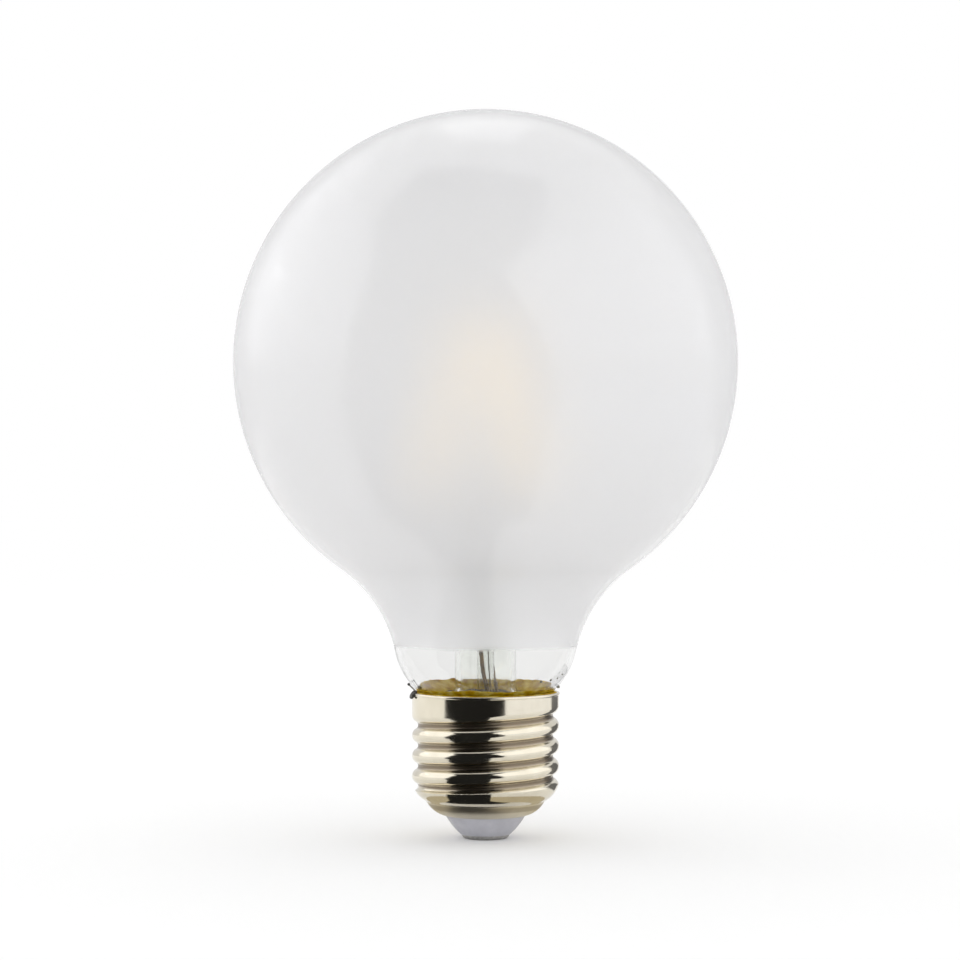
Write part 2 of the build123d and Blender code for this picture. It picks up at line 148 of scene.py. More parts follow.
def seen_share(tree, mirrored):
    path = node(tree, "ShaderNodeLightPath")
    gloss = spread(tree, path.outputs["Is Glossy Ray"], 0.0, mirrored)
    direct = joined(tree, "ADD", path.outputs["Is Camera Ray"], gloss)
    return joined(tree, "MAXIMUM", direct, path.outputs["Is Transmission Ray"])


floor_paint = 0.91
floor_glow = 0.09
mirrored_glow = 0.1

floor_finish, tree, shader = finish("floor_sheet")
shader.inputs["Base Color"].default_value = (floor_paint, floor_paint, floor_paint, 1)
shader.inputs["Roughness"].default_value = 1.0
shader.inputs["Specular IOR Level"].default_value = 0.0
shader.inputs["Emission Color"].default_value = (1, 1, 1, 1)
seen = seen_share(tree, mirrored_glow)
tree.links.new(spread(tree, seen, 0.0, floor_glow), shader.inputs["Emission Strength"])
print("floor paint:", floor_paint, "white with a glow of", floor_glow)

# %% [markdown]
# ## Floor sheet
# The paper runs past the horizon. Its four corners could be typed in, but the grid operator makes the sheet
# in one step. It rides on no body, since it isn't a piece of the lamp.


# %% Floor sheet
def stage_piece(mesh, name, material):
    data = bpy.data.meshes.new(name)
    mesh.to_mesh(data)
    mesh.free()
    data.materials.append(material)
    made = bpy.data.objects.new(name, data)
    scene.collection.objects.link(made)
    return made


floor_side = 8.0

mesh = bmesh.new()
bmesh.ops.create_grid(mesh, x_segments=1, y_segments=1, size=floor_side / 2)
stage_piece(mesh, "floor", floor_finish)
print("floor:", floor_side, "m wide at the height of the contact")

# %% [markdown]
# ## Lamps
# Two soft lamps give the glass its highlights: a low strip behind the left shoulder and a small one above
# and behind. They could be moved about by trial, but each is set by the direction in which it is seen from
# the globe's middle, which says where its highlight will be. It also has a brightness, so that its power
# follows from its size.

# %% Lamps
globe_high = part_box("globe_glass")[1]
globe_radius = globe_high.x
globe_middle = Vector((0, 0, globe_high.z - globe_radius))
lamp_distance = 0.8


def toward(azimuth, elevation):
    turn = math.radians(azimuth)
    lift = math.radians(elevation)
    return Vector((math.cos(lift) * math.sin(turn), -math.cos(lift) * math.cos(turn), math.sin(lift)))


def soft_lamp(name, azimuth, elevation, width, height, brightness):
    light = bpy.data.lights.new(name, "AREA")
    light.shape = "RECTANGLE"
    light.size = width
    light.size_y = height
    light.energy = brightness * math.pi * width * height
    lamp = bpy.data.objects.new(name, light)
    direction = toward(azimuth, elevation)
    lamp.location = globe_middle + direction * lamp_distance
    lamp.rotation_euler = direction.to_track_quat("Z", "Y").to_euler()
    scene.collection.objects.link(lamp)
    print("lamp:", name, "with", round(light.energy, 2), "W")


soft_lamp("left_strip", azimuth=-120, elevation=17.5, width=0.54, height=0.14, brightness=1.3)
soft_lamp("rear_top", azimuth=180, elevation=56, width=0.22, height=0.34, brightness=0.55)

# %% [markdown]
# ## Card maker
# Polished metal shows what stands around it, so a photographer sets up cards. A card could be a flat plane,
# but then its sides couldn't lean. Here it is a few arcs about the lamp's axis, each spun from one point
# and bridged to the next. A row gives an arc's radius, its height and its two ends, in degrees from the
# camera's side. Only glossy rays see the cards, so that they neither dim the light nor show in the picture.

# %% Card maker
card_steps = 24


def card_finish(name, colour):
    material, tree, shader = finish(name)
    shader.inputs["Base Color"].default_value = (0, 0, 0, 1)
    shader.inputs["Specular IOR Level"].default_value = 0.0
    shader.inputs["Emission Color"].default_value = (*colour, 1)
    shader.inputs["Emission Strength"].default_value = 1.0
    return material


def show_in_gloss(made):
    made.visible_camera = False
    made.visible_diffuse = False
    made.visible_transmission = False
    made.visible_shadow = False


def card(name, colour, *rows):
    mesh = bmesh.new()
    arcs = []
    for radius, height, left, right in rows:
        earlier = set(mesh.edges)
        point = mesh.verts.new(toward(left, 0) * radius + Vector((0, 0, height)))
        sweep = math.radians(right - left)
        bmesh.ops.spin(mesh, geom=[point], cent=(0, 0, 0), axis=(0, 0, 1), angle=sweep, steps=card_steps)
        arcs.append([edge for edge in mesh.edges if edge not in earlier])
    for lower, upper in zip(arcs, arcs[1:]):
        bmesh.ops.bridge_loops(mesh, edges=lower + upper)
    print("card:", name, "with", len(rows), "arcs and", len(mesh.faces), "faces")
    show_in_gloss(stage_piece(mesh, name, card_finish(name + "_paint", colour)))


print("cards: arcs of", card_steps, "steps")

# %% [markdown]
# ## Dark gap
# The cap has a black middle, because a dark gap lies between the lit panels in front of it. A plain dark
# panel would give it straight sides. On the cap the black is narrow at mid-height and wide below and above,
# so the card runs over the ground, up a wall and under the ceiling, and changes its width on the way.

# %% Dark gap
far = 0.75
up = 0.6 * MM
black = (0.014, 0.014, 0.014)
near_ground = ((0.0092, up, -34, 6), (0.0099, up, -58, 28), (0.0109, up, -68, 38), (0.0128, up, -52, 6))
mid_ground = ((0.034, up, -52, 8), (0.044, up, -52, 8), (0.056, up, -62, 27), (0.12, up, -61, 24))
far_ground = ((0.25, up, -65, 30), (far, up, -65, 30))
wall = ((far, 0.15, -62, 27), (far, 0.35, -60, 22), (far, 0.62, -59, 8))
ceiling = ((0.6, 0.85, -80, 34), (0.3, 0.95, -115, 88), (0.01, 1.0, -115, 88))
card("dark_gap", black, *near_ground, *mid_ground, *far_ground, *wall, *ceiling)

# %% [markdown]
# ## Panels and grounds
# White panels stand on both sides of the gap. A tan ring of painted shade on the floor stands for the
# shaded floor under the cap and gives the undersides a warm tone.
# A low grey wall behind the right side gives the cap a dark edge. It could lie on the ground, but then the
# globe would show it as well. A pale back keeps the outline of the globe from fading into the white.

# %% Panels and grounds
tan = (0.47, 0.42, 0.31)
white = (1.2, 1.2, 1.22)
cool_white = (0.98, 0.99, 1.03)
grey = (0.15, 0.15, 0.16)
pale = (0.73, 0.73, 0.74)

# The tan ring is painted shade and is seen only in reflections.
card("tan_ring", tan, (0.011, up / 2, 0, 360), (0.0175, up / 2, 0, 360))
card("left_panel", white, (far, 0.11, -150, -63), (far, 0.62, -150, -60), (0.6, 0.8, -150, -81))
card("right_panel", white, (far, 0.11, 28, 120), (far, 0.62, 9, 120), (0.6, 0.8, 35, 120))
card("right_ground", cool_white, (0.2, up, 31, 120), (far, up, 31, 120))
card("grey_side", grey, (0.03, up, 103, 132), (0.03, 0.0245, 103, 132))
card("pale_back", pale, (0.45, up, 121, 235), (far, up, 121, 235), (far, 0.6, 121, 210))

# %% [markdown]
# ## Noise and tones
# Nearly every finish has the same parts: an even noise in the piece's own coordinates, two or three tones
# that it mixes, a roughness that it varies and a fine bump. Pictures of surfaces could give the same, but
# noise needs no file and has no seams. Most of it lies between 0.3 and 0.7, so the tones change there.

# %% Noise and tones
noise_low = 0.3
noise_high = 0.7


def grain(tree, size, detail=3.0, stretch=(1, 1, 1)):
    place = node(tree, "ShaderNodeTexCoord")
    mapping = node(tree, "ShaderNodeMapping")
    mapping.inputs["Scale"].default_value = stretch
    texture = node(tree, "ShaderNodeTexNoise")
    texture.inputs["Scale"].default_value = 1 / size
    texture.inputs["Detail"].default_value = detail
    tree.links.new(place.outputs["Object"], mapping.inputs["Vector"])
    tree.links.new(mapping.outputs["Vector"], texture.inputs["Vector"])
    return texture.outputs["Fac"]


def tones(tree, factor, *stops):
    ramp = node(tree, "ShaderNodeValToRGB")
    elements = ramp.color_ramp.elements
    while len(elements) < len(stops):
        elements.new(0.5)
    for element, (position, colour) in zip(elements, stops):
        element.position = position
        element.color = (*colour, 1)
    tree.links.new(factor, ramp.inputs["Fac"])
    return ramp.outputs["Color"]


def bump(tree, shader, height, depth):
    bumps = node(tree, "ShaderNodeBump")
    bumps.inputs["Strength"].default_value = 1.0
    bumps.inputs["Distance"].default_value = depth
    tree.links.new(height, bumps.inputs["Height"])
    tree.links.new(bumps.outputs["Normal"], shader.inputs["Normal"])


def worn_tones(tree, shader, size, dark, light, rough):
    factor = grain(tree, size)
    colour = tones(tree, factor, (noise_low, dark), (noise_high, light))
    tree.links.new(colour, shader.inputs["Base Color"])
    tree.links.new(spread(tree, factor, *rough, noise_low, noise_high), shader.inputs["Roughness"])


print("noise: tones change between", noise_low, "and", noise_high)

# %% [markdown]
# ## Coats and pieces
# A finish goes on a solid of the frame, or a new piece is drawn around it. A new piece rides on the frame's
# one body, takes its finish and can take the place of solids. This could be written out for each
# piece, but two helpers do it the same way every time and print what they did.


# %% Coats and pieces
def coat_solids(material, *names):
    for name in names:
        solids[name].data.materials.clear()
        solids[name].data.materials.append(material)
    print("finish:", material.name, "on", ", ".join(names))


def piece(mesh, name, material, slot, *replaced):
    data = bpy.data.meshes.new(name)
    mesh.to_mesh(data)
    mesh.free()
    data.materials.append(material)
    data.shade_smooth()
    made = bpy.data.objects.new(name, data)
    scene.collection.objects.link(made)
    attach(made, "root")
    if replaced:
        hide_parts(*replaced)
    print("piece:", name, "with", len(data.polygons), "faces")
    return made


print("solids to coat or replace:", len(solids))

# %% [markdown]
# ## Globe arcs
# The globe is blown: a ball, a hollow neck and a round shoulder that runs into the seal. It could be a
# sphere with a pulled neck, but three arcs that touch give the true line. The places of the ball and the
# shoulder are known, and the neck's centre follows from its distances to their centres.

# %% Globe arcs
glass_wall = 0.9 * MM
neck_radius = 24 * MM
shoulder_radius = 13 * MM
shoulder_rise = 9.85 * MM
rim_glass_radius = 11.927 * MM
seal_angle = 62.0
shell_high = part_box("screw_shell")[1]
rim_height = shell_high.z

shoulder_inset = math.sqrt(shoulder_radius**2 - shoulder_rise**2)
shoulder_centre = Vector((rim_glass_radius - shoulder_inset, 0, rim_height + shoulder_rise))
span = globe_middle - shoulder_centre
ball_reach = globe_radius + neck_radius
shoulder_reach = shoulder_radius + neck_radius
along = (span.length**2 + shoulder_reach**2 - ball_reach**2) / (2 * span.length)
aside = math.sqrt(shoulder_reach**2 - along**2)
step = span.normalized()
neck_centre = shoulder_centre + step * along + Vector((step.z, 0, -step.x)) * aside
ball_end = neck_centre - globe_middle
ball_sweep = 90 - math.degrees(math.atan2(ball_end.z, ball_end.x))
shoulder_end = neck_centre - shoulder_centre
shoulder_lean = math.degrees(math.atan2(shoulder_end.z, shoulder_end.x))
neck_sweep = ball_sweep + shoulder_lean - 90
shoulder_sweep = seal_angle + shoulder_lean
sweeps = (ball_sweep, neck_sweep, shoulder_sweep)
print("globe: ball, neck and shoulder turn by", [round(sweep, 1) for sweep in sweeps], "degrees")

# %% [markdown]
# ## Swing and lathe
# Round pieces are drawn with two moves: a point is swung about a centre, which draws an arc, and the
# finished outline is spun about the lamp's axis as on a lathe. Both are the spin operator. A Screw modifier
# could spin an outline too, but the operator leaves plain faces that can be worked on at once.

# %% Swing and lathe
turn_steps = 192
merge_distance = 0.001 * MM


def swing(mesh, point, centre, degrees, steps):
    made = bmesh.ops.spin(
        mesh, geom=[point], cent=centre, axis=(0, 1, 0), angle=math.radians(degrees), steps=steps
    )
    return next(v for v in made["geom_last"] if isinstance(v, bmesh.types.BMVert))


def lathe(mesh, outline):
    bmesh.ops.spin(
        mesh, geom=outline, cent=(0, 0, 0), axis=(0, 0, 1), angle=math.tau, steps=turn_steps, use_merge=True
    )


def close_up(mesh):
    bmesh.ops.remove_doubles(mesh, verts=mesh.verts, dist=merge_distance)
    bmesh.ops.recalc_face_normals(mesh, faces=mesh.faces)


print("lathe:", turn_steps, "steps to a turn")

# %% [markdown]
# ## Globe shape
# The outside is drawn from the crown down to the seal, and the inside back up along the same centres, one
# wall further in. A Solidify modifier could thicken the outside, but this way the inner faces are known
# and can have a finish of their own.

# %% Globe shape
ball_steps = 64
neck_steps = 24
shoulder_steps = 20

mesh = bmesh.new()
point = mesh.verts.new((0, 0, globe_high.z))
point = swing(mesh, point, globe_middle, ball_sweep, ball_steps)
point = swing(mesh, point, neck_centre, -neck_sweep, neck_steps)
point = swing(mesh, point, shoulder_centre, shoulder_sweep, shoulder_steps)
seal = point.co.copy()
lathe(mesh, mesh.verts[:] + mesh.edges[:])
outside = set(mesh.verts) | set(mesh.edges) | set(mesh.faces)

point = mesh.verts.new(seal)
inner = mesh.verts.new(seal + (shoulder_centre - seal).normalized() * glass_wall)
mesh.edges.new((point, inner))
point = swing(mesh, inner, shoulder_centre, -shoulder_sweep, shoulder_steps)
point = swing(mesh, point, neck_centre, neck_sweep, neck_steps)
swing(mesh, point, globe_middle, -ball_sweep, ball_steps)
lathe(mesh, [part for part in mesh.verts[:] + mesh.edges[:] if part not in outside])
for face in mesh.faces:
    face.material_index = 0 if face in outside else 1
close_up(mesh)
globe_mesh = mesh
print("globe:", len(globe_mesh.faces), "faces, seal at", round(seal.z / MM, 2), "mm")

# %% [markdown]
# ## Frost line
# The frost is a fine white powder coat that stops at a soft line on the neck, and the glass below it is
# clear. Two pieces of glass could have the two looks, but the real globe is one piece. So a mask on the
# height tells frost from clear glass, and a little noise lets the line wander.

# %% Frost line
frost_line = 34.7 * MM
frost_softness = 0.6 * MM
frost_wander = 0.3 * MM
wander_size = 4 * MM

globe_finish, tree, shader = finish("frosted_globe_glass")
place = node(tree, "ShaderNodeTexCoord")
parts = node(tree, "ShaderNodeSeparateXYZ")
tree.links.new(place.outputs["Object"], parts.inputs["Vector"])
wander = spread(tree, grain(tree, wander_size), -frost_wander, frost_wander)
uneven = joined(tree, "ADD", parts.outputs["Z"], wander)
frost = spread(tree, uneven, 0, 1, frost_line - frost_softness, frost_line + frost_softness)
print("frost: its line is", round(frost_line / MM, 1), "mm above the contact")

# %% [markdown]
# ## Frosted glass
# The mask turns the clear glass into a rough one that scatters light, under a clear gloss. White paint
# could give the same colour, but it would hide the filaments, so part of the light still goes through.

# %% Frosted glass
glass_bend = 1.5
clear_tint = (0.92, 0.92, 0.915)
frost_tint = (0.98, 0.98, 0.99)
clear_rough = 0.02
frost_rough = 0.6
frost_passes = 0.42
gloss_rough = 0.14

frost_colour = tones(tree, frost, (0.0, clear_tint), (1.0, frost_tint))
tree.links.new(frost_colour, shader.inputs["Base Color"])
tree.links.new(spread(tree, frost, 1.0, frost_passes), shader.inputs["Transmission Weight"])
tree.links.new(spread(tree, frost, clear_rough, frost_rough), shader.inputs["Roughness"])
tree.links.new(frost, shader.inputs["Coat Weight"])
shader.inputs["IOR"].default_value = glass_bend
shader.inputs["Coat Roughness"].default_value = gloss_rough
print("frost: lets", frost_passes, "of the light through")

# %% [markdown]
# ## Light through the glass
# In Blender glass stops the rays that look for a lamp, which would leave the inside dark. A lamp inside
# could mend that, but the globe would look lit. So most of those rays are let through, and fewer of them
# where the frost is.


# %% Light through the glass
def let_light_in(tree, shader, share):
    path = node(tree, "ShaderNodeLightPath")
    opening = node(tree, "ShaderNodeBsdfTransparent")
    mixed = node(tree, "ShaderNodeMixShader")
    passed = joined(tree, "MULTIPLY", path.outputs["Is Shadow Ray"], share)
    tree.links.new(passed, mixed.inputs["Fac"])
    tree.links.new(shader.outputs["BSDF"], mixed.inputs[1])
    tree.links.new(opening.outputs["BSDF"], mixed.inputs[2])
    tree.links.new(mixed.outputs["Shader"], tree.nodes["Material Output"].inputs["Surface"])


clear_share = 0.95
frost_share = 0.7

let_light_in(tree, shader, spread(tree, frost, clear_share, frost_share))
print("light:", clear_share, "passes the clear glass and", frost_share, "the frost")

# %% [markdown]
# ## Inner glass
# The inner face has the slow waves of blown glass. It could share the outer finish, but then the light
# would be scattered twice. So it is clear, with a shallow bump, and the globe carries both finishes.

# %% Inner glass
wave_size = 6 * MM
wave_depth = 0.05 * MM

inner_finish, tree, shader = finish("clear_inner_glass")
shader.inputs["Base Color"].default_value = (*clear_tint, 1)
shader.inputs["Transmission Weight"].default_value = 1.0
shader.inputs["IOR"].default_value = glass_bend
waves = grain(tree, wave_size)
tree.links.new(spread(tree, waves, 0.0, 0.06), shader.inputs["Roughness"])
bump(tree, shader, waves, wave_depth)
let_light_in(tree, shader, spread(tree, waves, 0.9, 1.0))
globe = piece(globe_mesh, "frosted_globe", globe_finish, "frosted_glass", "globe_glass")
globe.data.materials.append(inner_finish)

# %% [markdown]
# ## Stem glass
# The flare, the exhaust tube and the post are clear drawn glass. A perfectly smooth glass would look too
# clean, because drawing leaves faint lengthwise ripples that bend the light. A very shallow bump that is
# stretched along the axis stands for them.

# %% Stem glass
stem_tint = (0.97, 0.98, 0.96)
ripple_size = 1.2 * MM
ripple_depth = 0.03 * MM

stem_finish, tree, shader = finish("clear_stem_glass")
shader.inputs["Base Color"].default_value = (*stem_tint, 1)
shader.inputs["Transmission Weight"].default_value = 1.0
shader.inputs["IOR"].default_value = glass_bend
ripple = grain(tree, ripple_size, stretch=(1, 1, 0.1))
tree.links.new(spread(tree, ripple, 0.0, 0.05), shader.inputs["Roughness"])
bump(tree, shader, ripple, ripple_depth)
let_light_in(tree, shader, spread(tree, ripple, 0.9, 1.0))
coat_solids(stem_finish, "stem_flare", "exhaust_tube", "support_post")

# %% [markdown]
# ## Wires
# The leads are copper that has gone brown in the sealing fire. The wires that carry the filaments and the
# one that comes out at the rim are bright. One even colour would look like plastic, so the tone and the
# gloss change in patches, as they do on drawn wire.

# %% Wires
copper_finish, tree, shader = finish("fired_copper")
shader.inputs["Metallic"].default_value = 1.0
worn_tones(tree, shader, 1.5 * MM, (0.08, 0.05, 0.015), (0.24, 0.15, 0.06), (0.5, 0.25))
bump(tree, shader, grain(tree, 0.15 * MM), 0.01 * MM)
coat_solids(copper_finish, "front_lead", "rear_lead", "centre_wire", "inductor_winding")

nickel_wire_finish, tree, shader = finish("nickel_wire")
shader.inputs["Metallic"].default_value = 1.0
worn_tones(tree, shader, 1.0 * MM, (0.60, 0.58, 0.54), (0.78, 0.76, 0.72), (0.35, 0.2))
bump(tree, shader, grain(tree, 0.1 * MM), 0.005 * MM)
tabs = [f"filament_{number}_{end}_tab" for number in range(1, 5) for end in ("foot", "top")]
coat_solids(nickel_wire_finish, "top_spider", "front_foot_wire", "rear_foot_wire", "side_wire", *tabs)

# %% [markdown]
# ## Filaments
# Each filament is a strip of tiny chips in silicone that is full of yellow phosphor. The coat is matt and a
# little uneven, so a fine grain mixes two yellows and dents the surface. Paint alone could give the
# colour, but phosphor turns blue light of the room into yellow light and looks brighter than paint: a glow
# stands for that.

# %% Filaments
phosphor_glow = (1.0, 0.72, 0.36)

phosphor_finish, tree, shader = finish("yellow_phosphor")
worn_tones(tree, shader, 0.5 * MM, (0.86, 0.58, 0.10), (0.96, 0.74, 0.22), (0.7, 0.5))
shader.inputs["Emission Color"].default_value = (*phosphor_glow, 1)
shader.inputs["Emission Strength"].default_value = 1.0
bump(tree, shader, grain(tree, 0.2 * MM), 0.03 * MM)
coat_solids(phosphor_finish, *(f"filament_{number}" for number in range(1, 5)))

# %% [markdown]
# ## Nickel plate
# The cap is thin sheet, rolled to an E27 thread and plated with nickel, which is a little warmer than
# chrome. It could be a perfect mirror, but that would look drawn: fine lines from the rolling run round the
# plate, and a faint haze makes it less even. A noise that is squeezed along the axis gives the lines.

# %% Nickel plate
plate_dark = (0.80, 0.74, 0.60)
plate_light = (0.87, 0.81, 0.67)
haze_size = 3 * MM
line_size = 0.5 * MM
line_depth = 0.002 * MM

shell_finish, tree, shader = finish("warm_nickel_plate")
shader.inputs["Metallic"].default_value = 1.0
haze = grain(tree, haze_size)
plate = tones(tree, haze, (noise_low, plate_dark), (noise_high, plate_light))
plate_rough = spread(tree, haze, 0.10, 0.16, noise_low, noise_high)
bump(tree, shader, grain(tree, line_size, stretch=(0.1, 0.1, 4)), line_depth)
print("plate: haze in patches of", round(haze_size / MM, 1), "mm")

# %% [markdown]
# ## Roots, band and foot
# In the roots of the thread the plate is painted a darker brown and is rougher: the brown is painted shade
# for the hollows of the thread. They could be painted on by hand, but a mask on the distance from the axis
# finds them, and a second one on the height leaves out the toe and the foot below the thread. The foot is
# satin, with a painted tan band that stands for the shaded floor it reflects, and these two are masks on
# the height as well. Each pair below is where a mask starts to change and where it ends.

# %% Roots, band and foot
roots = (12.08 * MM, 12.38 * MM)
thread_start = (9.2 * MM, 9.7 * MM)
# The band on the foot is a painted reflection: a tan stripe that stands for the shaded floor under the cap.
painted_band_start = (5.3 * MM, 5.6 * MM)
painted_band_end = (6.3 * MM, 6.55 * MM)
foot_end = (6.6 * MM, 6.9 * MM)
painted_band_share = 0.4
foot_rough = 0.5

place = node(tree, "ShaderNodeTexCoord")
parts = node(tree, "ShaderNodeSeparateXYZ")
flat = node(tree, "ShaderNodeCombineXYZ")
reach = node(tree, "ShaderNodeVectorMath", operation="LENGTH")
tree.links.new(place.outputs["Object"], parts.inputs["Vector"])
tree.links.new(parts.outputs["X"], flat.inputs["X"])
tree.links.new(parts.outputs["Y"], flat.inputs["Y"])
tree.links.new(flat.outputs["Vector"], reach.inputs[0])
height = parts.outputs["Z"]
in_roots = spread(tree, reach.outputs["Value"], 1.0, 0.0, *roots)
# The roots are painted a darker brown: painted shade in the hollows of the thread.
shaded_roots = joined(tree, "MULTIPLY", in_roots, spread(tree, height, 0.0, 1.0, *thread_start))
# The painted band: a reflection of the shaded floor, painted into the plate's colour.
above_start = spread(tree, height, 0.0, painted_band_share, *painted_band_start)
painted_band = joined(tree, "MULTIPLY", above_start, spread(tree, height, 1.0, 0.0, *painted_band_end))
foot_matt = spread(tree, height, foot_rough, 0.0, *foot_end)
print("roots: from brown to bright at", [round(edge / MM, 2) for edge in roots], "mm from the axis")

# %% [markdown]
# ## Plate and painted shade
# Bare, shaded and satin plate could be three materials, but their borders would be hard. The masks mix the
# painted brown shade into the plate's colour instead, and at each spot the roughest of plate, roots and
# foot counts.

# %% Plate and painted shade
# This brown is painted shade. It is mixed into the roots and into the foot's band.
painted_shade_brown = (0.26, 0.21, 0.15)
root_rough = 0.32

mixed = node(tree, "ShaderNodeMixRGB")
mixed.inputs["Color2"].default_value = (*painted_shade_brown, 1)
tree.links.new(joined(tree, "MAXIMUM", shaded_roots, painted_band), mixed.inputs["Fac"])
tree.links.new(plate, mixed.inputs["Color1"])
tree.links.new(mixed.outputs["Color"], shader.inputs["Base Color"])
worn_rough = joined(tree, "MAXIMUM", spread(tree, shaded_roots, 0.0, root_rough), foot_matt)
tree.links.new(joined(tree, "MAXIMUM", plate_rough, worn_rough), shader.inputs["Roughness"])
coat_solids(shell_finish, "screw_shell")

# %% [markdown]
# ## Rim
# The top edge of the shell is rolled over, which shows as a thin bright line under the glass. A bevel on
# the edge could stand for it, but a real roll catches the light all round. So a small circle is swung
# about its own middle and then spun about the axis, and it sits on the edge.

# %% Rim
roll_radius = 0.3 * MM
roll_inset = 0.17 * MM
roll_drop = 0.26 * MM
roll_steps = 16

mesh = bmesh.new()
roll_centre = Vector((shell_high.x - roll_inset, 0, rim_height - roll_drop))
point = mesh.verts.new(roll_centre + Vector((roll_radius, 0, 0)))
swing(mesh, point, roll_centre, 360, roll_steps)
lathe(mesh, mesh.verts[:] + mesh.edges[:])
close_up(mesh)
piece(mesh, "rolled_rim", shell_finish, "nickel_shell")

# %% [markdown]
# ## Cement finish
# The cement is a brown paste that is baked hard between the neck and the shell, so it is lumpy and
# blotched. One brown would look like plastic, so a noise with much detail mixes three tones, and a finer
# one makes the lumps.

# %% Cement finish
cement_dark = (0.40, 0.20, 0.0)
cement_brown = (0.62, 0.40, 0.0)
cement_light = (0.82, 0.66, 0.14)
blotch_size = 1.6 * MM
lump_size = 0.5 * MM
lump_depth = 0.15 * MM

cement_finish, tree, shader = finish("baked_cement")
blotch = grain(tree, blotch_size, detail=5)
cement_colour = tones(tree, blotch, (0.32, cement_dark), (0.5, cement_brown), (0.68, cement_light))
tree.links.new(cement_colour, shader.inputs["Base Color"])
shader.inputs["Specular IOR Level"].default_value = 0.1
tree.links.new(spread(tree, blotch, 0.85, 0.55), shader.inputs["Roughness"])
bump(tree, shader, grain(tree, lump_size), lump_depth)
print("cement: blotches of", round(blotch_size / MM, 1), "mm")

# %% [markdown]
# ## Cement in the shell
# Most of the cement fills the shell under the glass. A plain ring could stand for it, but the cement
# follows the shoulder: an arc is swung just outside of the glass, closed with straight lines and spun.

# %% Cement in the shell
fill_reach = shoulder_radius + 0.03 * MM
fill_crown = 48.0
fill_steps = 8
fill_radius = shell_high.x - 0.33 * MM
fill_top = rim_height - 0.1 * MM
fill_bottom = rim_height - 1.7 * MM

mesh = bmesh.new()
seal_direction = Vector((math.cos(math.radians(seal_angle)), 0, -math.sin(math.radians(seal_angle))))
seal_side = mesh.verts.new(shoulder_centre + seal_direction * fill_reach)
crown = swing(mesh, seal_side, shoulder_centre, fill_crown - seal_angle, fill_steps)
shell_side = mesh.verts.new((fill_radius, 0, fill_top))
bottom = mesh.verts.new((fill_radius, 0, fill_bottom))
for start, end in ((crown, shell_side), (shell_side, bottom), (bottom, seal_side)):
    mesh.edges.new((start, end))
lathe(mesh, mesh.verts[:] + mesh.edges[:])
close_up(mesh)
piece(mesh, "cement_in_shell", cement_finish, "cement", "cement_ring")

# %% [markdown]
# ## Cement in the neck
# Through the glass the cement shows as a ring at the bottom of the neck with an uneven upper edge. Brown
# could be painted on the glass, but it has to lie behind it. So an arc is swung along the inner face of
# the shoulder and spun about the axis, its edge is pushed up and down by noise, and the sheet is thickened.

# %% Cement in the neck
ring_reach = shoulder_radius - glass_wall - 0.02 * MM
ring_crown = 45.5
ring_wander = 1.6
ring_wall = 0.18 * MM
ring_steps = 14
wide_lumps = 2.3
small_lumps = 7.1
small_share = 0.6

mesh = bmesh.new()
point = mesh.verts.new(shoulder_centre + seal_direction * ring_reach)
swing(mesh, point, shoulder_centre, ring_crown - seal_angle, ring_steps)
lathe(mesh, mesh.verts[:] + mesh.edges[:])
close_up(mesh)
low_edge = min(vert.co.z for vert in mesh.verts)
high_edge = max(vert.co.z for vert in mesh.verts)
for vert in mesh.verts:
    turn = math.atan2(vert.co.y, vert.co.x)
    share = (vert.co.z - low_edge) / (high_edge - low_edge)
    around = Vector((math.cos(turn), math.sin(turn), 0))
    lump = noise.noise(around * wide_lumps) + small_share * noise.noise(around * small_lumps)
    hinge = Matrix.Rotation(math.radians(lump * ring_wander * share), 3, around.cross(Vector((0, 0, 1))))
    centre = around * shoulder_centre.x + Vector((0, 0, shoulder_centre.z))
    vert.co = centre + hinge @ (vert.co - centre)
bmesh.ops.solidify(mesh, geom=mesh.faces[:], thickness=ring_wall)
close_up(mesh)
piece(mesh, "cement_in_neck", cement_finish, "cement")

# %% [markdown]
# ## Crumbs
# A few crumbs of cement stick to the outside of the shoulder at the right. Dark specks in the glass could
# stand for them, but they would look flat. So each is a small ball that is dented by noise and set on the
# glass by its turn about the axis and its angle on the shoulder's arc.

# %% Crumbs
crumbs = ((-37, 33, 0.22), (-29, 32, 0.2), (-24, 29, 0.16), (-47, 34, 0.26), (-8, 42.5, 0.3))
crumb_dent = 0.5

crumb_finish, tree, shader = finish("grey_crumbs")
worn_tones(tree, shader, 0.2 * MM, (0.10, 0.10, 0.08), (0.34, 0.32, 0.26), (0.9, 0.7))
bump(tree, shader, grain(tree, 0.1 * MM), 0.03 * MM)

mesh = bmesh.new()
for turn, angle, radius in crumbs:
    made = bmesh.ops.create_icosphere(mesh, subdivisions=2, radius=radius * MM)["verts"]
    for vert in made:
        vert.co *= 1 + crumb_dent * noise.noise(vert.co / (radius * MM) + Vector((turn, angle, 0)))
    outward = Vector((math.cos(math.radians(angle)), 0, -math.sin(math.radians(angle))))
    spot = Matrix.Rotation(math.radians(turn), 3, "Z") @ (shoulder_centre + outward * shoulder_radius)
    bmesh.ops.translate(mesh, vec=spot, verts=made)
piece(mesh, "cement_crumbs", crumb_finish, "cement")

# %% [markdown]
# ## Solder finish
# The drop of solder at the rim is dull and nearly black. Clean solder would be bright, so
# the finish is only partly metal, and a noise mixes two dark greys.

# %% Solder finish
solder_metal = 0.6

solder_finish, tree, shader = finish("dull_solder")
shader.inputs["Metallic"].default_value = solder_metal
worn_tones(tree, shader, 0.6 * MM, (0.02, 0.019, 0.017), (0.16, 0.155, 0.145), (0.6, 0.35))
bump(tree, shader, grain(tree, 0.4 * MM), 0.1 * MM)
print("solder:", solder_metal, "metal")

